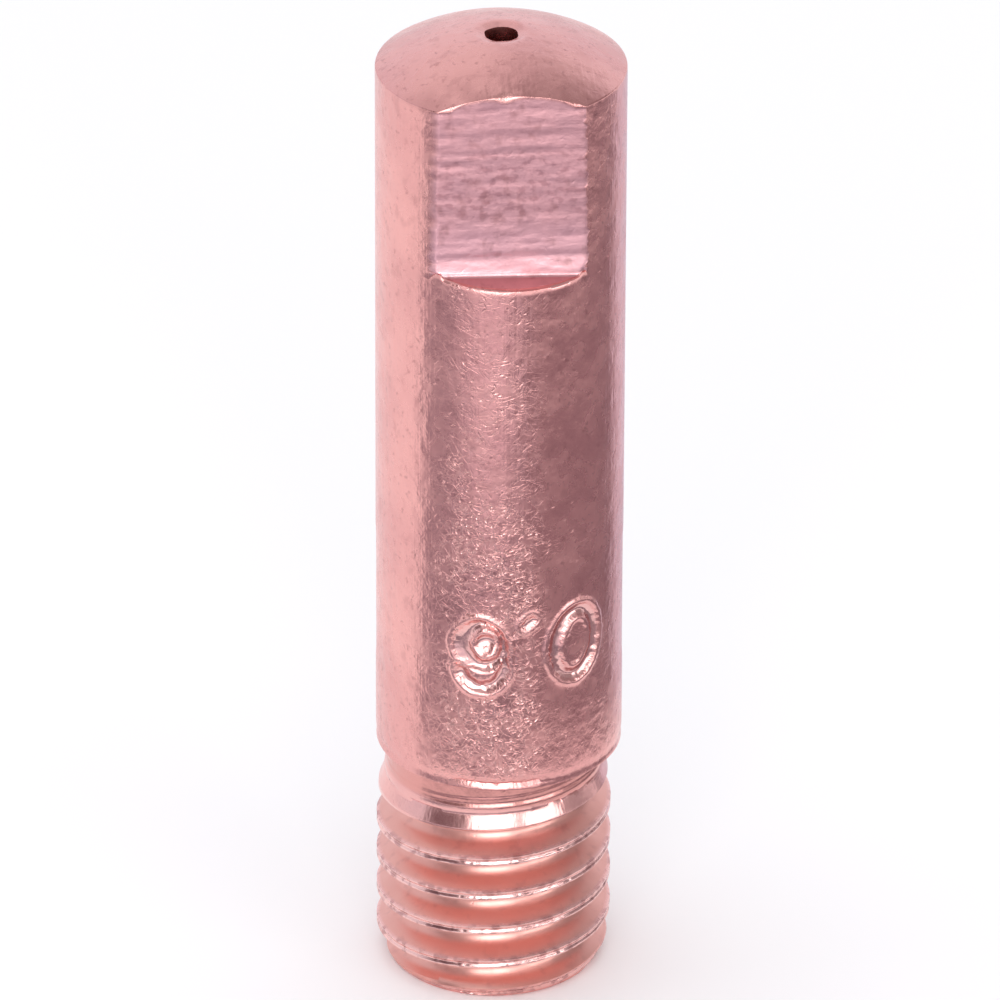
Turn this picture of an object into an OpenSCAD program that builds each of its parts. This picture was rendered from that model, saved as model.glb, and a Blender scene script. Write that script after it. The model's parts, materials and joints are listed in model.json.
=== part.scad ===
// Contact tip for a wire-feed welding torch, turned from one copper bar.
// A round body with a domed nose and two milled wrench flats stands on a
// threaded shank, and the welding wire runs up through the middle.
// Millimetres. The tip stands on its threaded end, which is centred on the
// origin, and the wire leaves along +Z. The flats face -Y and +Y.

/* [Body] */
// Length from the threaded end to the crown of the nose
overall_length = 25; // [18:0.5:40]
// Diameter of the round body
body_d = 6; // [5.9:0.1:10]
// Height of the domed nose above the straight side of the body
nose_height = 0.9; // [0.4:0.05:2]
// Bevel around the rear edge of the body
shoulder_bevel = 0.15; // [0.05:0.05:0.25]

/* [Wrench flats] */
// Width across the two flats
across_flats = 4.8; // [4:0.1:5.6]
// Length of the flats, from the crown of the nose to their ledge
flats_length = 5.35; // [3:0.05:10]
// Radius that the milling cutter leaves at the foot of each flat
flats_fillet = 0.2; // [0.1:0.05:0.5]

/* [Wire bore] */
// Diameter of the bore that guides the wire
wire_bore_d = 0.8; // [0.6:0.1:1.2]
// Diameter of the bevelled mouth on the nose
mouth_d = 1.3; // [1.25:0.05:2]
// Full angle of the mouth bevel
mouth_angle = 150; // [90:5:160]
// Diameter of the funnel that the wire enters at the threaded end
funnel_d = 2.8; // [1.6:0.1:4]
// Full angle of the funnel
funnel_angle = 60; // [40:5:90]

/* [Threaded shank] */
// Length of the shank, from its end to the shoulder
shank_length = 6; // [4:0.1:10]
// Diameter over the thread crests
thread_d = 5.8; // [5.5:0.05:5.85]
// Diameter of the flat end of the shank
end_d = 5.1; // [4.4:0.1:5.4]
// Length of the taper that leads the thread into its holder
lead_length = 0.6; // [0.3:0.05:1]
// Diameter of the relief groove under the shoulder
relief_d = 5.3; // [4.8:0.05:5.4]
// Length of the relief groove
relief_length = 0.75; // [0.4:0.05:1.2]
// Length of the taper from the relief groove to the full diameter of the crests
runout_length = 0.85; // [0.3:0.05:1]
// Distance from one crest of the thread to the next
thread_pitch = 1; // [0.75:0.05:1.25]
// Depth of the thread
thread_depth = 0.57; // [0.3:0.01:0.65]
// Width of each crest
crest_width = 0.18; // [0.1:0.01:0.3]
// Width of the flat root between two crests
root_width = 0.16; // [0.05:0.01:0.3]
// Distance from the shoulder to the middle of the first groove
first_groove = 1.52; // [1.3:0.01:2]

/* [Hidden] */

COPPER = [0.80, 0.54, 0.50];
$fn = 96;

// How far a cutter reaches past the surface that it opens
overcut = 1;

body_r = body_d / 2;
rim_z = overall_length - nose_height;
// Radius of the sphere that passes through the crown and the rim of the body
nose_r = (body_r * body_r + nose_height * nose_height) / (2 * nose_height);

crest_r = thread_d / 2;
relief_r = relief_d / 2;
relief_z = shank_length - relief_length;
ledge_z = overall_length - flats_length;

// Half section of the bar before its nose is turned, with the radius across and the height up
module bar_section() {
    polygon([
        [0, 0],
        [end_d / 2, 0],
        [crest_r, lead_length],
        [crest_r, relief_z - runout_length],
        [relief_r, relief_z],
        [relief_r, shank_length],
        [body_r - shoulder_bevel, shank_length],
        [body_r, shank_length + shoulder_bevel],
        [body_r, overall_length + overcut],
        [0, overall_length + overcut]
    ]);
}

// Half section of what the turning tool takes off to leave the domed nose
module nose_waste() {
    difference() {
        translate([0, rim_z - nose_height])
            square([body_d, 2 * (nose_height + overcut)]);
        translate([0, overall_length - nose_r])
            circle(r = nose_r);
    }
}

// Half sections of the thread's grooves. They are rings of its pitch and depth, with no lead around the axis
module thread_grooves() {
    half_mouth = (thread_pitch - crest_width) / 2;
    for (z = [shank_length - first_groove : -thread_pitch : half_mouth])
        translate([crest_r, z])
            polygon([
                [-thread_depth, -root_width / 2],
                [0, -half_mouth],
                [overcut, -half_mouth],
                [overcut, half_mouth],
                [0, half_mouth],
                [-thread_depth, root_width / 2]
            ]);
}

module turned_bar() {
    rotate_extrude()
        difference() {
            bar_section();
            nose_waste();
            thread_grooves();
        }
}

// Path of the milling cutter along the flat that faces +Y
module flat_cut() {
    flat_y = across_flats / 2;
    reach = body_r - flat_y + overcut;
    translate([-body_r - overcut, 0, 0])
        rotate([90, 0, 90])
            linear_extrude(height = body_d + 2 * overcut)
                difference() {
                    translate([flat_y, ledge_z])
                        square([reach, flats_length + overcut]);
                    difference() {
                        translate([flat_y, ledge_z])
                            square(flats_fillet);
                        translate([flat_y + flats_fillet, ledge_z + flats_fillet])
                            circle(r = flats_fillet);
                    }
                }
}

// Straight bore with a funnel at the threaded end and a bevelled mouth on the nose
module wire_passage() {
    bore_r = wire_bore_d / 2;
    funnel_depth = (funnel_d - wire_bore_d) / 2 / tan(funnel_angle / 2);
    mouth_depth = (mouth_d - wire_bore_d) / 2 / tan(mouth_angle / 2);
    // Height of the dome where the bevelled mouth meets it
    mouth_z = overall_length - nose_r + sqrt(nose_r * nose_r - mouth_d * mouth_d / 4);

    translate([0, 0, -overcut])
        cylinder(r = bore_r, h = overall_length + 2 * overcut);
    rotate_extrude()
        polygon([
            [0, -overcut],
            [funnel_d / 2, -overcut],
            [funnel_d / 2, 0],
            [bore_r, funnel_depth],
            [0, funnel_depth]
        ]);
    rotate_extrude()
        polygon([
            [0, mouth_z - mouth_depth],
            [bore_r, mouth_z - mouth_depth],
            [mouth_d / 2, mouth_z],
            [mouth_d / 2, mouth_z + overcut],
            [0, mouth_z + overcut]
        ]);
}

module contact_tip() {
    color(COPPER)
        difference() {
            turned_bar();
            flat_cut();
            rotate([0, 0, 180])
                flat_cut();
            wire_passage();
        }
}

contact_tip();
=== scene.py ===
"""Looks of a copper welding contact tip: one turned, milled, threaded and stamped piece.

Lengths in the making of the mesh are millimetres, and an angle about the axis is counted from
the front flat, which faces -Y, towards +X.
"""
import json
import math

import bpy
import numpy as np
from mathutils import Matrix, Vector


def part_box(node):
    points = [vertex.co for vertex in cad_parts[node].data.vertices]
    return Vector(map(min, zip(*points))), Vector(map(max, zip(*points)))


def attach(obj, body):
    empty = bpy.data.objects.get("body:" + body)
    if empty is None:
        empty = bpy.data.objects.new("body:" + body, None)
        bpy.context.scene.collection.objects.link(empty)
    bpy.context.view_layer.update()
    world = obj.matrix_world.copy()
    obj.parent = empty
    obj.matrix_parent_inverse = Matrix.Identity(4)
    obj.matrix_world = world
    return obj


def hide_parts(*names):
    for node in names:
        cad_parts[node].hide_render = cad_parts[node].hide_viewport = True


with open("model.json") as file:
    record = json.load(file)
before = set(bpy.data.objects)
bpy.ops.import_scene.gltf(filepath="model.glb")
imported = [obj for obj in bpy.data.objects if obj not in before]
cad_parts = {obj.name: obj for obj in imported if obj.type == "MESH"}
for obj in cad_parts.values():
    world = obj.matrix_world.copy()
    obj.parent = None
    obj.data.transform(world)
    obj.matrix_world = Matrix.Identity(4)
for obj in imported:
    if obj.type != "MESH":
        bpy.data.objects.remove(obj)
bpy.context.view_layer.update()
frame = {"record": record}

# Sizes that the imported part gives
MM = 0.001
MOUNTS = {mount["name"]: mount for mount in frame["record"]["mounts"]}
node_low, node_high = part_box("contact_tip")
BODY_R = (node_high.x - node_low.x) / 2 / MM
FLAT_Y = MOUNTS["rear_flat"]["pos_m"][1] / MM
# The crests are worn by this much
CREST_WEAR = 0.03
CREST_R = MOUNTS["thread"]["dims"]["r_mm"] - CREST_WEAR
BORE_R = MOUNTS["wire_bore"]["dims"]["r_mm"]

# Nose
CROWN_Z = 25.0
NOSE_HEIGHT = 0.9
NOSE_R = (BODY_R**2 + NOSE_HEIGHT**2) / (2 * NOSE_HEIGHT)
RIM_Z = CROWN_Z - NOSE_HEIGHT
MOUTH_R = 0.65
MOUTH_DEPTH = 0.067
RIM_ROUND = 0.05
EDGE_BREAK = 0.05

# Wrench flats
LEDGE_Z = 19.65
FLAT_FILLET = 0.1
# The cutter dug in at the foot, where the flat slopes outwards
FOOT_TOP = 20.2
FOOT_DIG = 0.012
FOOT_OUT = 0.036
# The cutter leaned, so the flat is this much further in at its foot than at the nose
FLAT_LEAN = 0.05
# Rise of the ledge towards -X, for each millimetre across
LEDGE_SLANT = 0.03
FLAT_EDGE = math.acos(FLAT_Y / BODY_R)
FLAT_END = LEDGE_Z + 0.2
# Fall of the ledge towards its outer edge, for each millimetre
LEDGE_FALL = 0.25

# Shoulder, relief groove and thread
SHOULDER_Z = 6.0
RELIEF_R = 2.65
PITCH = 0.958
CREST_UPPER = 0.09
CREST_LOWER = 0.1
# Sides of the groove and the arcs of its root between them, as degrees that the surface looks up, and radii
GROOVE_UPPER = -64
GROOVE_LOWER = 58
GROOVE_ARCS = [(-64, 12, 0.07), (12, 30, 0.35), (30, 58, 0.4)]
ARC_STEPS = 12
# Bevel of the first crest: where it starts, bends and ends
BEVEL_START = 4.3
BEVEL_KNEE = 4.86
BEVEL_TOP = 5.22
KNEE_DROP = 0.06
# Heights of the step in the relief groove and of its rise towards the bevel
NECK_Z = 5.64
NECK_RISE_Z = 5.5
# The shank was turned a little off the axis of the body
SHANK_SHIFT = 0.12
THREAD_TOP = 5.3
THREAD_BOTTOM = 0.04
# Height below which the thread is fully cut
GROOVE_FROM = 4.7
# Height of the crest that crosses the front flat's centre line
CREST_Z = 3.022
END_R = 2.55
LEAD_LENGTH = 0.6
FUNNEL_R = 1.4
FUNNEL_DEPTH = 1.732

# Stamped number: its digits stand on their heads when the nose points up
SIX = (BODY_R * math.radians(-15), 10.11)
STAMP_DEPTH = 0.085
STAMP_HALF = 0.17
POINT_HALF = 0.13
POINT_DEPTH = 0.05
POINT_LIP = 0.03
STAMP_LIP = 0.045
STAMP_LOW = 8.4
STAMP_HIGH = 11.3


def smooth_noise(angle, along, cells, seed):
    """Smooth values from -1 to 1, with so many cells round the axis and one for each unit of along."""
    depth = 512
    lattice = np.random.default_rng(seed).uniform(-1, 1, (cells, depth))
    angle, along = np.broadcast_arrays(angle / (2 * np.pi) * cells, along)
    column, row = np.floor(angle).astype(int), np.floor(along).astype(int)
    u, v = angle - column, along - row
    u, v = u * u * (3 - 2 * u), v * v * (3 - 2 * v)
    left, right = column % cells, (column + 1) % cells
    low, high = row % depth, (row + 1) % depth
    near = lattice[left, low] * (1 - u) + lattice[right, low] * u
    far = lattice[left, high] * (1 - u) + lattice[right, high] * u
    return near * (1 - v) + far * v


def column_angles():
    """Angles of the mesh's columns: close together over the stamp, with one on each edge of the flats."""
    back_edge = np.pi - FLAT_EDGE
    stamp_end = math.radians(57)
    fine, coarse = math.radians(0.75), math.radians(4.0)
    stops = [
        (-np.pi, -back_edge, coarse),
        (-back_edge, -FLAT_EDGE, coarse),
        (-FLAT_EDGE, FLAT_EDGE, fine),
        (FLAT_EDGE, stamp_end, fine),
        (stamp_end, back_edge, coarse),
        (back_edge, np.pi, coarse),
    ]
    parts = []
    for start, end, step in stops:
        count = max(1, round((end - start) / step))
        parts.append(np.linspace(start, end, count, endpoint=False))
    return np.concatenate(parts)


PHI = column_angles()
COLUMNS = len(PHI)


class Surface:
    """Rings of vertices: a radius, a height and an angle for every column, and four marks of what it is.

    The marks are how much a place is milled, how much it is polished, whether it lies across the axis
    and how dull the cutting left it.
    """

    def __init__(self):
        self.rings = []

    def ring(self, radius, height, angle=PHI, milled=0.0, polish=0.0, across=0.0):
        # The last mark repeats the first, because milling leaves the metal dull
        values = np.broadcast_arrays(radius, height, angle, milled, polish, across, milled)
        self.rings.append(np.stack(values, 1).astype(float))


def dome_height(radius):
    """Height of the dome at a distance from the axis."""
    return CROWN_Z - NOSE_R + np.sqrt(NOSE_R**2 - radius**2)


# Heights of the cutter's marks on the flats, how deep each one is and half its width
MILL_MARKS = [(24.05, 0.018, 0.16), (23.4, 0.016, 0.14), (22.94, 0.014, 0.12), (22.66, 0.012, 0.12),
              (21.3, 0.006, 0.1), (20.72, 0.014, 0.14)]


def mill_depth(height, angle=0.0):
    """How far the flat lies inside its nominal distance: the cutter's lean, its marks and its waves."""
    depth = np.zeros(np.broadcast(height, angle).shape)
    for number, (at, deep, half) in enumerate(MILL_MARKS):
        fade = 0.6 + 0.7 * smooth_noise(np.asarray(angle), np.asarray(0.5 + number), 30, 11)
        depth = depth + deep * np.clip(fade, 0.05, 1) * np.clip(1 - np.abs(height - at) / half, 0, 1)
    waves = 0.005 * smooth_noise(np.asarray(angle), np.asarray(height) / 0.15, 24, 12)
    lean = FLAT_LEAN * ((CROWN_Z - 0.6 - height) / (CROWN_Z - 0.6 - LEDGE_Z) - 0.7)
    foot = np.interp(height, [FLAT_END, FOOT_TOP, FOOT_TOP + 0.1], [-FOOT_OUT, FOOT_DIG, 0])
    return depth + waves + lean + foot


def flat_angles(height, jag):
    """Column angles at a height on the flats, moved so that the edge columns follow the ragged edges."""
    edges = []
    for side in range(4):
        ragged = jag * smooth_noise(np.array([side * 1.3]), np.array([height / 0.09]), 16, 20 + side)[0]
        distance = FLAT_Y - float(mill_depth(np.array(height))) + ragged
        edges.append(math.acos(min(distance / BODY_R, 1)))
    nominal = [-np.pi, FLAT_EDGE - np.pi, -FLAT_EDGE, FLAT_EDGE, np.pi - FLAT_EDGE, np.pi]
    moved = [-np.pi, edges[0] - np.pi, -edges[1], edges[2], np.pi - edges[3], np.pi]
    return np.interp(PHI, nominal, moved)


ON_FLAT = np.abs(np.cos(PHI)) >= math.cos(FLAT_EDGE) - 1e-9


def wall_radius(height, angle):
    """Radius of the side above the ledge: the flats where they cut in, and the round body between them."""
    flat = (FLAT_Y - mill_depth(height, angle)) / np.maximum(np.abs(np.cos(angle)), 0.1)
    return np.where(ON_FLAT, np.minimum(flat, BODY_R), BODY_R)


def add_nose(surface):
    """Mouth of the bore, dome, its rounded edge, and the side down to the ledge of the flats."""
    surface.ring(BORE_R, CROWN_Z - 0.6)
    chip = 0.03 * smooth_noise(PHI, np.array(3.5), 12, 5)
    for share in np.linspace(0, 1, 5):
        radius = BORE_R + (MOUTH_R - BORE_R) * share + chip * (1 - share)
        surface.ring(radius, dome_height(MOUTH_R) - MOUTH_DEPTH * (1 - share) ** 1.3, across=1)
    top = CROWN_Z - 0.7
    angle = flat_angles(top, 0.0)
    wall = wall_radius(top, angle)
    # The edge is an arc that touches the dome and the side, even on the round rim and uneven above the
    # flats, where it is worn most near the middle and the ends
    from_middle = np.abs(np.mod(PHI + np.pi / 2, np.pi) - np.pi / 2)
    uneven = 0.015 + 0.05 * np.clip(smooth_noise(PHI, np.array(5.5), 34, 6), 0, 1)
    uneven = uneven + 0.2 * np.exp(-(((PHI + 0.06) / 0.1) ** 2))
    uneven = uneven + 0.2 * np.exp(-(((from_middle - 0.6) / 0.08) ** 2))
    inside = step_up((FLAT_EDGE - from_middle) / 0.1)
    bend = RIM_ROUND + (uneven - RIM_ROUND) * inside
    arc_r = wall - bend
    arc_z = CROWN_Z - NOSE_R + np.sqrt((NOSE_R - bend) ** 2 - arc_r**2)
    slope = np.arcsin(arc_r / (NOSE_R - bend))
    dome_end = NOSE_R * np.sin(slope)
    for share in np.linspace(0, 1, 24)[1:]:
        radius = MOUTH_R + (dome_end - MOUTH_R) * share
        surface.ring(radius, dome_height(radius), angle, across=1)
    for share in np.linspace(0, 1, 6)[1:]:
        turn = slope + (np.pi / 2 - slope) * share
        surface.ring(arc_r + bend * np.sin(turn), arc_z + bend * np.cos(turn), angle)
    rows_from = RIM_Z - 0.35
    for share in np.linspace(0, 1, 9)[1:-1]:
        height = arc_z + (rows_from - arc_z) * share
        surface.ring(wall_radius(height, angle), height, angle, milled=ON_FLAT)
    for height in np.linspace(rows_from, FLAT_END, 60):
        turned = flat_angles(height, 0.05)
        surface.ring(wall_radius(height, turned), height, turned, milled=ON_FLAT)


def add_ledge(surface):
    """Fillet and ledge at the foot of the flats. Between the flats these rings lie on the round body."""
    count = 20
    foot_y = FLAT_Y - float(mill_depth(np.array(FLAT_END)))
    paths = []
    for column in range(COLUMNS):
        if not ON_FLAT[column]:
            z = np.linspace(FLAT_END, LEDGE_Z, count + 1)[1:]
            paths.append(np.stack([np.full(count, BODY_R), z], 1))
            continue
        lean = abs(math.cos(PHI[column]))
        slant = -LEDGE_SLANT * (foot_y * math.tan(PHI[column])) + 0.03
        turn = np.linspace(0, np.pi / 2, 60)
        radius = (foot_y + 0.012 + FLAT_FILLET * (1 - np.cos(turn))) / lean
        z = LEDGE_Z + slant + FLAT_FILLET * (1 - np.sin(turn))
        edge = BODY_R - EDGE_BREAK
        keep = radius < edge - 1e-6
        outer = z[keep][-1] - LEDGE_FALL * (edge - radius[keep][-1]) if keep.any() else z[0]
        radius = np.concatenate([[foot_y / lean], radius[keep], [edge]])
        z = np.concatenate([[FLAT_END], z[keep], [outer]])
        length = np.concatenate([[0], np.cumsum(np.hypot(np.diff(radius), np.diff(z)))])
        at = np.linspace(0, length[-1], count + 1)[1:]
        paths.append(np.stack([np.interp(at, length, radius), np.interp(at, length, z)], 1))
    paths = np.array(paths)
    for step in range(count):
        surface.ring(paths[:, step, 0], paths[:, step, 1], milled=ON_FLAT * (step < count - 3))
    foot = paths[:, -1, 1]
    burr = np.where(ON_FLAT, 0.03 * smooth_noise(PHI, np.array(7.5), 110, 31), 0)
    surface.ring(np.where(ON_FLAT, BODY_R - 0.3 * EDGE_BREAK, BODY_R), foot - 0.4 * EDGE_BREAK + burr)
    surface.ring(BODY_R, foot - 1.6 * EDGE_BREAK + burr)
    return foot - 3 * EDGE_BREAK


def ellipse(centre, half_width, half_height, start, end, slant=0.0, point=0.0):
    """Part of an ellipse, from one angle to another, that can lean and come to a point at its left end."""
    turn = np.radians(np.linspace(start, end, 60))
    up = half_height * np.sin(turn) * (1 - point * np.clip(-np.cos(turn), 0, 1) ** 2)
    return np.stack([centre[0] + half_width * np.cos(turn) + slant * up, centre[1] + up], 1)


def stamp_strokes():
    """Lines of the stamped wire size on the unrolled body: an upturned 6, a 0 and a point."""
    ring = ellipse((SIX[0] + 0.07, SIX[1] - 0.09), 0.5, 0.56, 0, 360, 0.0, 0.3)
    hook = (SIX[0] + 0.05, SIX[1] - 0.5)
    tail = ellipse(hook, 0.57, 0.74, 8, -150)
    spine = np.array([[SIX[0] + 0.63, SIX[1]], tail[0]])
    zero = ellipse((BODY_R * math.radians(32.3), 9.8), 0.6, 0.86, 0, 360, 0.06)
    point = np.array([(BODY_R * math.radians(6.3), 10.52), (BODY_R * math.radians(9.4), 10.66)])
    return [ring, tail, spine, zero, point]


def distance_to(path, x, y):
    """Shortest distance from each place to a line of straight steps."""
    best = np.full(x.shape, np.inf)
    for (ax, ay), (bx, by) in zip(path[:-1], path[1:]):
        dx, dy = bx - ax, by - ay
        share = np.clip(((x - ax) * dx + (y - ay) * dy) / (dx * dx + dy * dy), 0, 1)
        best = np.minimum(best, np.hypot(x - ax - share * dx, y - ay - share * dy))
    return best


STROKES = stamp_strokes()


def stamp_relief(angle, height):
    """How far the stamp moves the surface: grooves with raised lips, and the tilted middle of the 6."""
    x, y = np.broadcast_arrays(BODY_R * angle, height)
    distances = np.array([distance_to(path, x, y) for path in STROKES])
    best = np.min(distances, axis=0) + 0.02 * smooth_noise(angle, np.asarray(height) / 0.09, 210, 61)
    # The 6 was struck hardest at its lower left, so its groove is widest there
    towards = 0.1 * np.clip((x - SIX[0]) / 0.6, -1, 1) + 0.04 * np.clip((y - SIX[1]) / 0.5, -1, 1)
    near_six = (x < SIX[0] + 0.9) & (y > SIX[1] - 0.72)
    half = np.where(near_six, np.clip(STAMP_HALF - towards, 0.07, 0.28), STAMP_HALF)
    at_point = np.argmin(distances, axis=0) == len(STROKES) - 1
    half = np.where(at_point, POINT_HALF, half)
    share = np.clip(best, 0, None) / half
    groove = -np.where(at_point, POINT_DEPTH, STAMP_DEPTH) * np.clip(1 - share**1.2, 0, None)
    lip = np.where(at_point, POINT_LIP, STAMP_LIP) * np.exp(-(((best - half - 0.07) / 0.075) ** 2))
    across, up = x - SIX[0] - 0.2, y - SIX[1] + 0.15
    middle = -0.5 * up * np.clip(1 - (across**2 + up**2) / 0.38**2, 0, None)
    return groove + lip + middle


def add_body(surface, top):
    """Round body from the ledge of the flats down to the shoulder, with the stamped number."""
    upper = STAMP_HIGH + 0.2
    below = LEDGE_Z - 0.5
    for share in np.linspace(0, 1, 6)[:-1]:
        surface.ring(BODY_R, top + (below - top) * share)
    for height in np.linspace(below, upper, 26)[:-1]:
        surface.ring(BODY_R, height)
    for height in np.linspace(upper, STAMP_LOW, 80):
        relief = stamp_relief(PHI, height)
        # Polish of the struck slopes; the material also paints them paler, partly burnish and partly a
        # painted highlight
        bright = np.clip(np.abs(relief) / 0.03, 0, np.where(relief > 0, 0.35, 0.8))
        surface.ring(BODY_R - 0.012 + relief, height, polish=bright)
    for height in np.linspace(STAMP_LOW, SHOULDER_Z + 0.4, 10)[1:]:
        surface.ring(BODY_R, height)
    # The cutting tool rolled the lower edge and left a shallow dent above it
    lip = 0.03 * smooth_noise(PHI, np.array(1.5), 60, 41)
    lip = lip + 0.015 * smooth_noise(PHI, np.array(2.5), 150, 42)
    rolled = 1 - 0.6 * step_up((np.abs(PHI + 0.1) - 0.2) / 0.35)
    surface.ring(BODY_R - 0.005, SHOULDER_Z + 0.3 + lip)
    surface.ring(BODY_R - 0.075 * rolled, SHOULDER_Z + 0.2 + lip)
    surface.ring(BODY_R - 0.045 * rolled, SHOULDER_Z + 0.13)
    surface.ring(BODY_R - 0.01, SHOULDER_Z + 0.06)
    surface.ring(BODY_R - 0.01, SHOULDER_Z + 0.03)
    surface.ring(BODY_R - 0.05, SHOULDER_Z)
    surface.ring(RELIEF_R + 0.04, SHOULDER_Z)
    for height in np.linspace(SHOULDER_Z - 0.04, THREAD_TOP, 26):
        surface.ring(thread_radius(PHI, height), height, polish=0.5)


def step_up(value):
    """A smooth step from 0 to 1 as the value goes from 0 to 1."""
    value = np.clip(value, 0, 1)
    return value * value * (3 - 2 * value)


def shank_radius(angle, height):
    """Radius of the turned shank before its groove: lead-in, crests, bevel of the first crest and relief.

    The bevel and the relief lie a little askew, as the thread does.
    """
    level = height - PITCH / (2 * np.pi) * np.sin(angle)
    crests = np.interp(height, [0, LEAD_LENGTH], [END_R, CREST_R])
    bevel_radii = [CREST_R, CREST_R - KNEE_DROP, RELIEF_R + 0.01]
    bevel = np.interp(level, [BEVEL_START, BEVEL_KNEE, BEVEL_TOP], bevel_radii)
    relief = RELIEF_R - 0.03 + 0.012 * step_up((NECK_Z - level) / 0.04)
    relief = relief + 0.04 * step_up((NECK_RISE_Z - level) / 0.15)
    relief = relief - 0.03 * np.exp(-(((level - BEVEL_TOP) / 0.02) ** 2))
    return np.where(level > BEVEL_TOP, relief, np.minimum(crests, bevel))


def groove_section():
    """Section of the groove, as distances below the edge of a crest and depths.

    The upper side is steep, the root starts tight and opens into a hollow, and the lower side is straight.
    """
    along, depth = [0.0], [0.0]
    for start, end, radius in GROOVE_ARCS:
        turn = np.radians(np.linspace(start, end, ARC_STEPS + 1))
        along.extend(along[-1] + radius * (np.sin(turn[1:]) - np.sin(turn[0])))
        depth.extend(depth[-1] + radius * (np.cos(turn[1:]) - np.cos(turn[0])))
    rise_upper, rise_lower = -math.tan(math.radians(GROOVE_UPPER)), math.tan(math.radians(GROOVE_LOWER))
    opening = PITCH - CREST_UPPER - CREST_LOWER
    upper = (rise_lower * (opening - along[-1]) - depth[-1]) / (rise_upper + rise_lower)
    along = np.concatenate([[0], np.array(along) + upper, [opening]])
    depth = np.concatenate([[0], np.array(depth) + upper * rise_upper, [0]])
    return along, depth


GROOVE_ALONG, GROOVE_DEPTH = groove_section()


def thread_radius(angle, height):
    """Radius of the thread: a right-hand groove in the turned shank, whose crests are cleft and rough."""
    angle, height = np.broadcast_arrays(angle, height)
    turns = (height - CREST_Z) / PITCH - angle / (2 * np.pi)
    offset = np.abs(turns - np.round(turns)) * PITCH
    groove_z = CREST_Z + PITCH * (np.floor(turns) + 0.5 + angle / (2 * np.pi))
    started = step_up((THREAD_TOP - groove_z) / 0.4)
    depth = np.interp((np.ceil(turns) - turns) * PITCH - CREST_LOWER, GROOVE_ALONG, GROOVE_DEPTH)
    cleft = 0.035 * np.clip(1 - (offset / 0.055) ** 2, 0, 1) * step_up((GROOVE_FROM - height) / 0.5)
    on_crest = (offset < 1.3 * CREST_UPPER) & (height < 4.6)
    rough = 0.012 * smooth_noise(angle, height / 0.07, 230, 51) * on_crest
    shank = shank_radius(angle, height)
    return np.minimum(shank - cleft, CREST_R - depth * started) + np.minimum(rough, 0)


def pitch_rows():
    """Rows of one pitch of thread, as shares of the pitch down from a crest."""
    arc_ends = CREST_LOWER + GROOVE_ALONG[1:-1:ARC_STEPS]
    bends = [0, CREST_LOWER, *arc_ends, PITCH - CREST_UPPER, PITCH]
    steps = [4, 3, 6, 4, 4, 3, 4]
    parts = []
    for start, end, count in zip(bends, bends[1:], steps):
        parts.append(np.linspace(start, end, count, endpoint=False))
    return np.concatenate(parts) / PITCH


PITCH_ROWS = pitch_rows()


def add_end(surface):
    """Flat threaded end, the funnel for the wire, and the bore up to the nose."""
    surface.ring(END_R - 0.03, 0.0, across=1)
    for radius in np.linspace(END_R - 0.15, FUNNEL_R + 0.02, 4):
        surface.ring(radius, 0.0, across=1)
    for share in np.linspace(0.02, 1, 6):
        surface.ring(FUNNEL_R + (BORE_R - FUNNEL_R) * share, FUNNEL_DEPTH * share)
    for height in np.linspace(FUNNEL_DEPTH + 0.3, CROWN_Z - 1.2, 8):
        surface.ring(BORE_R, height)


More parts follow.
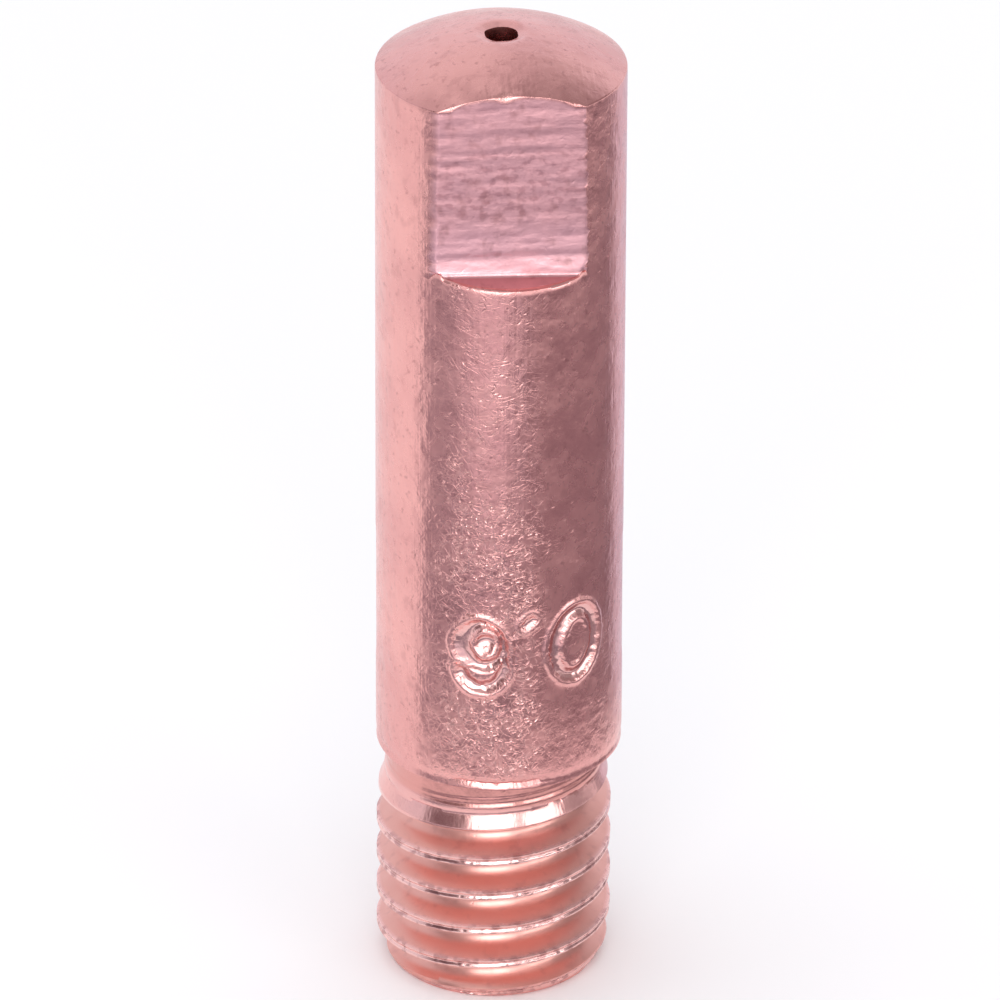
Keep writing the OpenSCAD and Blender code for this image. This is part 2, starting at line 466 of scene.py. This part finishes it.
def tip_mesh():
    """The whole tip as one closed surface."""
    upper, lower = Surface(), Surface()
    add_nose(upper)
    foot = add_ledge(upper)
    add_body(upper, foot)
    lower.ring(thread_radius(PHI, THREAD_BOTTOM), THREAD_BOTTOM)
    add_end(lower)

    places = np.concatenate(upper.rings + lower.rings)
    ring_id = lambda ring, column: ring * COLUMNS + column
    upper_count, ring_count = len(upper.rings), len(upper.rings) + len(lower.rings)
    faces = []
    for ring in range(ring_count):
        if ring == upper_count - 1:
            continue
        following = (ring + 1) % ring_count
        for column in range(COLUMNS):
            right = (column + 1) % COLUMNS
            corners = ((ring, column), (following, column), (following, right), (ring, right))
            faces.append(tuple(ring_id(*corner) for corner in corners))

    # Thread rows follow the helix, so a row meets the one a pitch above it after each turn
    per_turn = len(PITCH_ROWS)
    start = CREST_Z + PITCH * math.ceil((THREAD_TOP + PITCH - CREST_Z) / PITCH)
    rows = per_turn * math.ceil((start + PITCH - THREAD_BOTTOM) / PITCH)
    drop = np.array([(row // per_turn + PITCH_ROWS[row % per_turn]) * PITCH for row in range(rows)])
    height = start - drop[:, None] + PITCH * PHI[None, :] / (2 * np.pi)
    gap = 0.02
    ids = np.empty((rows, COLUMNS), int)
    extra = []
    for row in range(rows):
        for column in range(COLUMNS):
            z = height[row, column]
            if z > THREAD_TOP - gap:
                ids[row, column] = ring_id(upper_count - 1, column)
            elif z < THREAD_BOTTOM + gap:
                ids[row, column] = ring_id(upper_count, column)
            else:
                ids[row, column] = len(places) + len(extra)
                in_groove = 0.11 < PITCH_ROWS[row % per_turn] < 0.9
                dull = 1.0 if in_groove and z < GROOVE_FROM else 0.0
                polish = 1.0 if z < GROOVE_FROM else 0.6
                extra.append((0.0, z, PHI[column], 0.0, polish, 0.0, dull))
    extra = np.array(extra)
    extra[:, 0] = thread_radius(extra[:, 2], extra[:, 1])
    places = np.concatenate([places, extra])
    top_ring = [ring_id(upper_count - 1, column) for column in range(COLUMNS)]
    look_up = lambda row, column: top_ring[column] if row < 0 else ids[min(row, rows - 1), column]
    for row in range(rows - 1):
        for column in range(COLUMNS):
            right = column + 1
            step = 0
            if right == COLUMNS:
                right, step = 0, per_turn
            lower_right, upper_right = look_up(row + 1 - step, right), look_up(row - step, right)
            corners = [ids[row, column], ids[row + 1, column], lower_right, upper_right]
            corners = [c for spot, c in enumerate(corners) if c != corners[spot - 1]]
            if len(set(corners)) >= 3:
                faces.append(tuple(corners))

    radius, z, angle, milled, polish, across, dull = places.T
    points = np.stack([radius * np.sin(angle), -radius * np.cos(angle), z], 1)
    points[(z < SHOULDER_Z - 0.01) & (radius > 0.5 * BODY_R), 0] -= SHANK_SHIFT
    mesh = bpy.data.meshes.new("contact_tip_surface")
    mesh.from_pydata((points * MM).tolist(), [], [tuple(int(c) for c in face) for face in faces])
    mesh.polygons.foreach_set("use_smooth", [True] * len(mesh.polygons))
    mesh.set_sharp_from_angle(angle=math.radians(40))
    for name, values in (("milled", milled), ("polish", polish), ("dull", dull)):
        mesh.attributes.new(name, "FLOAT", "POINT").data.foreach_set("value", values)
    add_unrolled_map(mesh, points, angle, z, across)
    return mesh


def add_unrolled_map(mesh, points, angle, z, across):
    """UV map in millimetres: the side unrolled, and what lies across the axis seen along it."""
    corners = np.empty(len(mesh.loops), int)
    mesh.loops.foreach_get("vertex_index", corners)
    starts = np.empty(len(mesh.polygons), int)
    mesh.polygons.foreach_get("loop_start", starts)
    counts = np.diff(np.append(starts, len(corners)))
    of_face = lambda values: np.repeat(values, counts)
    turned = angle[corners]
    last = of_face(np.maximum.reduceat(turned, starts))
    turned = np.where(last - turned > np.pi, turned + 2 * np.pi, turned)
    flat = of_face(np.minimum.reduceat(across[corners], starts)) > 0.5
    side = np.stack([BODY_R * turned, z[corners]], 1)
    seen = points[corners, :2] + 40
    places = np.where(flat[:, None], seen, side)
    mesh.uv_layers.new(name="Unrolled").data.foreach_set("uv", places.ravel())


tip = bpy.data.objects.new("tip", tip_mesh())
bpy.context.scene.collection.objects.link(tip)


def node(tree, kind, settings=None, **inputs):
    """A new shader node with its settings, and its inputs set or linked by name, or by number as i0, i1."""
    made = tree.nodes.new(kind)
    for name, value in (settings or {}).items():
        setattr(made, name, value)
    for name, value in inputs.items():
        by_number = name[0] == "i" and name[1:].isdigit()
        socket = made.inputs[int(name[1:]) if by_number else name.replace("_", " ")]
        if isinstance(value, bpy.types.NodeSocket):
            tree.links.new(value, socket)
        else:
            socket.default_value = value
    return made


CLEAN_COPPER = (0.88, 0.44, 0.41, 1)
DULL_COPPER = (0.80, 0.39, 0.37, 1)
DARK_COPPER = (0.40, 0.17, 0.17, 1)
MILLED_COPPER = (0.78, 0.42, 0.44, 1)
STAINED_COPPER = (0.60, 0.30, 0.32, 1)
BRIGHT_COPPER = (0.90, 0.50, 0.53, 1)
FRESH_COPPER = (0.97, 0.66, 0.62, 1)
GROOVE_COPPER = (0.83, 0.42, 0.365, 1)
# Darker, redder copper painted as shade in the relief groove under the shoulder
NECK_SHADE_COPPER = (0.70, 0.29, 0.26, 1)

# Nicks and scratches are few above the first height and closest together below the second
WEAR_TOP = 18.0
WEAR_FULL = 9.0
# The flats are stained most about this height, and brighten from the next down to the one after it
STAIN_Z = 22.1
BRIGHT_TOP = 21.4
BRIGHT_FULL = 20.5
# Degrees that the layers of scratches lean
SCRATCH_LEANS = (8, 35, 62, 84, 101, 128, 154)
# Layers of nicks: degrees that they lean, their spacing across and along, and where the layer starts
NICKS = [(-40, 0.085, 0.28, 3.1), (25, 0.075, 0.24, 8.4), (-72, 0.085, 0.2, 5.2), (0, 0.12, 0.13, 1.9)]


def copper():
    """Worn copper: clean and dull patches, specks, scratches and nicks, and what was milled or cut."""
    material = bpy.data.materials.new("copper")
    material.use_nodes = True
    tree = material.node_tree
    tree.nodes.clear()
    out = node(tree, "ShaderNodeOutputMaterial")
    where = node(tree, "ShaderNodeTexCoord").outputs["Object"]
    place = node(tree, "ShaderNodeVectorMath", {"operation": "SCALE"}, i0=where, Scale=1000.0).outputs[0]

    def noise(scale, detail, stretch=(1, 1, 1)):
        moved = node(tree, "ShaderNodeMapping", None, Vector=place, Scale=stretch).outputs[0]
        return node(tree, "ShaderNodeTexNoise", None, Vector=moved, Scale=scale, Detail=detail,
                    Roughness=0.5).outputs["Fac"]

    def remap(value, low, high, to_low=0.0, to_high=1.0):
        return node(tree, "ShaderNodeMapRange", {"interpolation_type": "SMOOTHSTEP"}, Value=value,
                    From_Min=low, From_Max=high, To_Min=to_low, To_Max=to_high).outputs[0]

    def blend(share, first, second):
        mixed = node(tree, "ShaderNodeMix", {"data_type": "RGBA"}, i0=share)
        for socket, colour in ((mixed.inputs[6], first), (mixed.inputs[7], second)):
            if isinstance(colour, bpy.types.NodeSocket):
                tree.links.new(colour, socket)
            else:
                socket.default_value = colour
        return mixed.outputs[2]

    def maths(kind, first, second):
        return node(tree, "ShaderNodeMath", {"operation": kind}, i0=first, i1=second).outputs[0]

    unrolled = node(tree, "ShaderNodeUVMap", {"uv_map": "Unrolled"}).outputs[0]

    def placed(turn, wide, long, start):
        """The unrolled surface, drawn out along a line that leans by an angle."""
        return node(tree, "ShaderNodeMapping", {"vector_type": "TEXTURE"}, Vector=unrolled,
                    Location=(start, start, 0), Rotation=(0, 0, math.radians(turn)),
                    Scale=(wide, long, 1)).outputs[0]

    def marks(turn, wide, long, detail=0.0, start=0.0):
        """Smooth 2-D noise on the unrolled surface, drawn out along a line that leans by an angle."""
        moved = placed(turn, wide, long, start)
        return node(tree, "ShaderNodeTexNoise", {"noise_dimensions": "2D"}, Vector=moved,
                    Scale=1.0, Detail=detail, Roughness=0.5).outputs["Fac"]

    def attribute(name):
        return node(tree, "ShaderNodeAttribute", {"attribute_name": name}).outputs["Fac"]

    milled, polish, dull = attribute("milled"), attribute("polish"), attribute("dull")
    groove = maths("SUBTRACT", dull, milled)
    turned = maths("SUBTRACT", 1.0, polish)
    plain = maths("MULTIPLY", turned, maths("SUBTRACT", 1.0, milled))

    along = node(tree, "ShaderNodeSeparateXYZ", None, Vector=unrolled).outputs["X"]
    axes = node(tree, "ShaderNodeSeparateXYZ", None, Vector=place).outputs
    height_mm = axes["Z"]

    # Thin straight scratches that lean many ways and small nicks, closest together on the lower front
    lines = None
    for number, turn in enumerate(SCRATCH_LEANS):
        layer = remap(marks(turn, 0.045, 0.5, 0.0, 7.3 * number), 0.73, 0.82)
        lines = layer if lines is None else maths("MAXIMUM", lines, layer)
    low = maths("MULTIPLY", remap(height_mm, WEAR_TOP, WEAR_FULL, 0.32, 1.0),
                remap(height_mm, SHOULDER_Z, SHOULDER_Z + 0.5))
    front = remap(maths("ABSOLUTE", maths("ADD", along, 0.55), 0.0), 0.6, 1.6, 1.0, 0.18)
    clusters = remap(noise(0.9, 3.0), 0.32, 0.68, 0.3, 1.0)
    worn = maths("MULTIPLY", maths("MULTIPLY", low, front), maths("MULTIPLY", clusters, plain))
    lines = maths("MULTIPLY", lines, worn)
    dents = None
    for turn, wide, long, start in NICKS:
        moved = placed(turn, wide, long, start)
        cells = node(tree, "ShaderNodeTexVoronoi", {"voronoi_dimensions": "2D"}, Vector=moved, Scale=1.0)
        chance = node(tree, "ShaderNodeSeparateColor", None, Color=cells.outputs["Color"]).outputs["Red"]
        struck = remap(maths("SUBTRACT", maths("MULTIPLY", worn, 0.27), chance), -0.04, 0.15)
        layer = maths("MULTIPLY", remap(cells.outputs["Distance"], 0.42, 0.05), struck)
        dents = layer if dents is None else maths("MAXIMUM", dents, layer)
    blotches = maths("MULTIPLY", marks(0, 0.3, 0.38, 2.0, 5.7), plain)
    drawn = maths("MULTIPLY", marks(0, 0.08, 7.0, 2.0, 9.9), plain)
    feed = maths("MULTIPLY", marks(90, 0.25, 1.3, 2.0, 1.7), milled)
    stains = maths("MULTIPLY", marks(0, 0.25, 0.2, 2.0, 4.4), milled)

    patches = noise(0.5, 3.0)
    spots = noise(3.2, 2.0, (1, 1, 0.8))
    colour = blend(remap(patches, 0.38, 0.66), CLEAN_COPPER, DULL_COPPER)
    colour = blend(milled, colour, MILLED_COPPER)
    middle = remap(maths("ABSOLUTE", maths("SUBTRACT", height_mm, STAIN_Z), 0.0), 0.6, 1.1, 0.9, 0.25)
    stained = remap(marks(0, 0.28, 0.2, 2.0, 6.6), 0.46, 0.68)
    colour = blend(maths("MULTIPLY", stained, maths("MULTIPLY", middle, milled)), colour, STAINED_COPPER)
    lower = maths("MULTIPLY", remap(height_mm, BRIGHT_TOP, BRIGHT_FULL),
                  remap(height_mm, LEDGE_Z + 0.07, FLAT_END))
    lower = maths("MULTIPLY", lower, milled)
    colour = blend(lower, colour, BRIGHT_COPPER)
    colour = blend(groove, colour, GROOVE_COPPER)
    cut = maths("MULTIPLY", maths("ADD", milled, groove), 0.2)
    faint = maths("ADD", maths("MULTIPLY", turned, 0.22), cut)
    colour = blend(maths("MULTIPLY", remap(spots, 0.54, 0.74), faint), colour, DARK_COPPER)
    specks = maths("MULTIPLY", remap(noise(6.5, 2.0), 0.6, 0.74), maths("MULTIPLY", plain, 0.4))
    colour = blend(specks, colour, DARK_COPPER)
    colour = blend(maths("MULTIPLY", maths("MAXIMUM", lines, dents), 0.35), colour, FRESH_COPPER)
    # The dome is tarnished towards the front edge
    edge = maths("MULTIPLY", remap(axes["Y"], -1.3, -2.3), remap(height_mm, RIM_Z - 0.2, RIM_Z))
    cloudy = remap(noise(1.3, 2.0), 0.35, 0.62, 0.05, 0.4)
    tarnish = maths("MULTIPLY", maths("MULTIPLY", edge, plain), cloudy)
    colour = blend(tarnish, colour, DARK_COPPER)
    # Painted shade: the relief groove under the shoulder's overhang is coloured darker and redder
    neck_shade = remap(maths("ABSOLUTE", maths("SUBTRACT", height_mm, NECK_Z), 0.0), 0.38, 0.26)
    colour = blend(neck_shade, colour, NECK_SHADE_COPPER)
    # Polished crests and stamped facets are painted paler: partly burnished metal, partly a painted
    # highlight so that they read white
    crest = maths("SUBTRACT", polish, groove)
    burnish_and_highlight = maths("MULTIPLY", maths("POWER", crest, 2.0), 0.6)
    colour = blend(burnish_and_highlight, colour, FRESH_COPPER)
    # The crests of the thread are stained in places
    crest = maths("MULTIPLY", crest, remap(height_mm, GROOVE_FROM - 0.2, GROOVE_FROM - 0.5, 0.0, 0.6))
    colour = blend(maths("MULTIPLY", remap(noise(4.0, 2.0), 0.47, 0.62), crest), colour, DARK_COPPER)

    height = maths("MULTIPLY", lines, -0.008)
    height = maths("ADD", height, maths("MULTIPLY", dents, -0.018))
    height = maths("ADD", height, maths("MULTIPLY", blotches, 0.018))
    height = maths("ADD", height, maths("MULTIPLY", drawn, 0.004))
    height = maths("ADD", height, maths("MULTIPLY", feed, 0.009))
    height = maths("ADD", height, maths("MULTIPLY", stains, 0.008))
    bump = node(tree, "ShaderNodeBump", None, Height=height, Strength=1.0, Distance=MM)

    roughness = maths("ADD", remap(noise(1.7, 3.0), 0.3, 0.7, 0.14, 0.24), maths("MULTIPLY", plain, 0.07))
    roughness = maths("ADD", roughness, maths("MULTIPLY", dull, 0.17))
    surface = node(tree, "ShaderNodeBsdfPrincipled", None, Base_Color=colour, Metallic=1.0,
                   Roughness=roughness, Normal=bump.outputs[0])
    tree.links.new(surface.outputs[0], out.inputs["Surface"])
    return material


tip.data.materials.append(copper())
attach(tip, "root")
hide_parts("contact_tip")


def plain_material(name, colour):
    """Dull material of one colour."""
    material = bpy.data.materials.new(name)
    material.use_nodes = True
    surface = material.node_tree.nodes["Principled BSDF"]
    surface.inputs["Base Color"].default_value = colour
    surface.inputs["Roughness"].default_value = 0.9
    surface.inputs["Specular IOR Level"].default_value = 0.0
    return material


def add_flat_shape(name, points, faces, material):
    """A piece of the studio, which isn't part of the tip."""
    mesh = bpy.data.meshes.new(name)
    mesh.from_pydata(points, [], faces)
    mesh.materials.append(material)
    shape = bpy.data.objects.new(name, mesh)
    bpy.context.scene.collection.objects.link(shape)
    return shape


FLOOR_HALF = 1.5
FLOOR_WHITE = (0.95, 0.95, 0.95, 1)


def add_floor():
    half = FLOOR_HALF
    corners = [(-half, -half, 0), (half, -half, 0), (half, half, 0), (-half, half, 0)]
    add_flat_shape("floor", corners, [(0, 1, 2, 3)], plain_material("floor", FLOOR_WHITE))


def side_ramp(tree, direction, stops):
    """Colour by side, and the upward part of the direction. Stops are degrees from the front towards +X."""
    parts = node(tree, "ShaderNodeSeparateXYZ", None, Vector=direction)
    front = node(tree, "ShaderNodeMath", {"operation": "MULTIPLY"}, i0=parts.outputs["Y"], i1=-1.0)
    angle = node(tree, "ShaderNodeMath", {"operation": "ARCTAN2"}, i0=parts.outputs["X"],
                 i1=front.outputs[0])
    share = node(tree, "ShaderNodeMapRange", None, Value=angle.outputs[0],
                 From_Min=-math.pi, From_Max=math.pi)
    ramp = node(tree, "ShaderNodeValToRGB", None, Fac=share.outputs[0])
    elements = ramp.color_ramp.elements
    while len(elements) < len(stops):
        elements.new(0.5)
    for element, (degrees, colour) in zip(elements, stops):
        element.position = (degrees + 180) / 360
        element.color = (*colour, 1)
    return ramp.outputs["Color"], parts.outputs["Z"]


# Tones of the card, as degrees from the front towards +X, near the tip and further out
CARD_MIDDLE = (0.345, 0.33, 0.375)
CARD_NEAR = (0.21, 0.20, 0.24)
CARD_LIGHT = (0.75, 0.735, 0.80)
CARD_DARK = (0.27, 0.235, 0.265)
CARD_PALE = (0.72, 0.72, 0.81)
CARD_RIGHT = [(116, CARD_DARK), (124, CARD_PALE), (180, CARD_PALE)]
CARD_NEAR_STOPS = [(-78, CARD_MIDDLE), (-30, CARD_NEAR), (8, CARD_NEAR), (24, CARD_DARK), *CARD_RIGHT]
CARD_FAR_STOPS = [(-78, CARD_MIDDLE), (-50, CARD_MIDDLE), (-20, CARD_LIGHT), (-6, CARD_LIGHT),
                  (13, CARD_MIDDLE), (26, CARD_DARK), *CARD_RIGHT]
# Sides of the card in degrees, then in metres its radii, its lift and where near tones turn to far ones
CARD_FROM = -78
CARD_TO = 178
CARD_INNER = 0.014
CARD_OUTER = 0.06
CARD_LIFT = 0.00005
CARD_TURN = (0.021, 0.029)


def add_card():
    """Card of grey tones on the floor, around the front and right of the tip, that only reflections show."""
    material = plain_material("card", (0.5, 0.5, 0.5, 1))
    tree = material.node_tree
    direction = node(tree, "ShaderNodeTexCoord").outputs["Object"]
    near, _ = side_ramp(tree, direction, CARD_NEAR_STOPS)
    far, _ = side_ramp(tree, direction, CARD_FAR_STOPS)
    length = node(tree, "ShaderNodeVectorMath", {"operation": "LENGTH"}, i0=direction).outputs["Value"]
    share = node(tree, "ShaderNodeMapRange", None, Value=length,
                 From_Min=CARD_TURN[0], From_Max=CARD_TURN[1])
    mixed = node(tree, "ShaderNodeMix", {"data_type": "RGBA"}, i0=share.outputs[0])
    tree.links.new(near, mixed.inputs[6])
    tree.links.new(far, mixed.inputs[7])
    tree.links.new(mixed.outputs[2], tree.nodes["Principled BSDF"].inputs["Base Color"])
    sides = np.radians(np.linspace(CARD_FROM, CARD_TO, 64))
    radii = (CARD_INNER, CARD_OUTER)
    points = [(r * math.sin(a), -r * math.cos(a), CARD_LIFT) for r in radii for a in sides]
    count = len(sides)
    faces = [(i, i + count, i + count + 1, i + 1) for i in range(count - 1)]
    card = add_flat_shape("card", points, faces, material)
    card.visible_camera = False
    card.visible_diffuse = False
    card.visible_shadow = False


# Camera as in the photograph: its side, its height over the horizon and its lens
VIEW_SIDE = math.radians(-6.0)
VIEW_HEIGHT = math.radians(28.12)
VIEW_ROLL = math.radians(0.218)
VIEW_DISTANCE = 280.0
FOCAL_PX = 11590.0
PHOTO_PX = 1000
SENSOR_MM = 36.0
AIM_SIDE = 0.011
AIM_UP = -0.089


def add_camera():
    level = math.cos(VIEW_HEIGHT)
    back = Vector((math.sin(VIEW_SIDE) * level, -math.cos(VIEW_SIDE) * level, math.sin(VIEW_HEIGHT)))
    rotation = back.to_track_quat("Z", "Y").to_matrix()
    aim = Vector((0, 0, CROWN_Z / 2)) + rotation.col[0] * AIM_SIDE + rotation.col[1] * AIM_UP
    data = bpy.data.cameras.new("camera")
    data.sensor_width = SENSOR_MM
    data.lens = FOCAL_PX / PHOTO_PX * SENSOR_MM
    data.clip_start = 0.01
    camera = bpy.data.objects.new("camera", data)
    turned = rotation @ Matrix.Rotation(VIEW_ROLL, 3, "Z")
    camera.matrix_world = Matrix.LocRotScale((aim + back * VIEW_DISTANCE) * MM, turned, None)
    bpy.context.scene.collection.objects.link(camera)
    bpy.context.scene.camera = camera


def add_panel(name, side, height, distance, width, tall, radiance):
    """Soft light panel that faces the tip, from a side and height in degrees as seen from the tip."""
    a, e = math.radians(side), math.radians(height)
    towards = Vector((math.sin(a) * math.cos(e), -math.cos(a) * math.cos(e), math.sin(e)))
    data = bpy.data.lights.new(name, "AREA")
    data.shape = "RECTANGLE"
    data.size = width
    data.size_y = tall
    data.energy = radiance * math.pi * width * tall
    lamp = bpy.data.objects.new(name, data)
    lamp.matrix_world = Matrix.LocRotScale(towards * distance, towards.to_track_quat("Z", "Y"), None)
    lamp.visible_camera = False
    bpy.context.scene.collection.objects.link(lamp)
    return lamp


# Tones of the room, as degrees from the front towards +X, level with the tip and overhead
ROOM_COOL = (0.92, 0.96, 1.04)
ROOM_LEFT = (0.85, 0.885, 0.96)
ROOM_MIDDLE = (0.55, 0.54, 0.56)
ROOM_DIM = (0.36, 0.33, 0.35)
ROOM_DARK = (0.20, 0.15, 0.17)
ROOM_STOPS = [(-180, ROOM_COOL), (-130, ROOM_COOL), (-100, ROOM_LEFT), (-80, ROOM_LEFT), (-70, ROOM_DARK),
              (-44, ROOM_DARK), (-38, ROOM_MIDDLE), (60, ROOM_MIDDLE), (68, ROOM_DIM), (112, ROOM_DIM),
              (124, ROOM_COOL), (180, ROOM_COOL)]
TOP_LEFT = (0.86, 0.86, 0.90)
TOP_RIGHT = (0.50, 0.48, 0.50)
TOP_STOPS = [(-180, TOP_LEFT), (-60, TOP_LEFT), (20, TOP_RIGHT), (130, TOP_RIGHT), (180, TOP_LEFT)]


def add_world():
    """Soft surroundings: bright and a little cool behind and on the left, darker elsewhere."""
    world = bpy.data.worlds.new("studio")
    bpy.context.scene.world = world
    world.use_nodes = True
    tree = world.node_tree
    tree.nodes.clear()
    out = node(tree, "ShaderNodeOutputWorld")
    direction = node(tree, "ShaderNodeTexCoord").outputs["Generated"]
    around, up = side_ramp(tree, direction, ROOM_STOPS)
    share = node(tree, "ShaderNodeMapRange", {"interpolation_type": "SMOOTHSTEP"}, Value=up,
                 From_Min=0.45, From_Max=0.85)
    mixed = node(tree, "ShaderNodeMix", {"data_type": "RGBA"}, i0=share.outputs[0])
    above, _ = side_ramp(tree, direction, TOP_STOPS)
    tree.links.new(around, mixed.inputs[6])
    tree.links.new(above, mixed.inputs[7])
    # The middle of the ceiling is dimmer
    dimmed = node(tree, "ShaderNodeMapRange", None, Value=up, From_Min=0.96, From_Max=1.0,
                  To_Min=1.0, To_Max=0.75)
    studio = node(tree, "ShaderNodeBackground", None, Color=mixed.outputs[2], Strength=dimmed.outputs[0])
    tree.links.new(studio.outputs[0], out.inputs["Surface"])


add_floor()
add_camera()
add_world()
add_card()
add_panel("front_panel", side=-8.5, height=20, distance=0.4, width=0.283, tall=0.24, radiance=3.0)
add_panel("right_panel", side=40, height=12, distance=0.4, width=0.26, tall=0.113, radiance=2.5)
floor_light = add_panel("floor_light", side=0, height=90, distance=0.6, width=0.6, tall=0.6, radiance=1.2)
# The metal doesn't mirror the light over the floor
floor_light.visible_glossy = False
bpy.context.scene.view_settings.view_transform = "Standard"
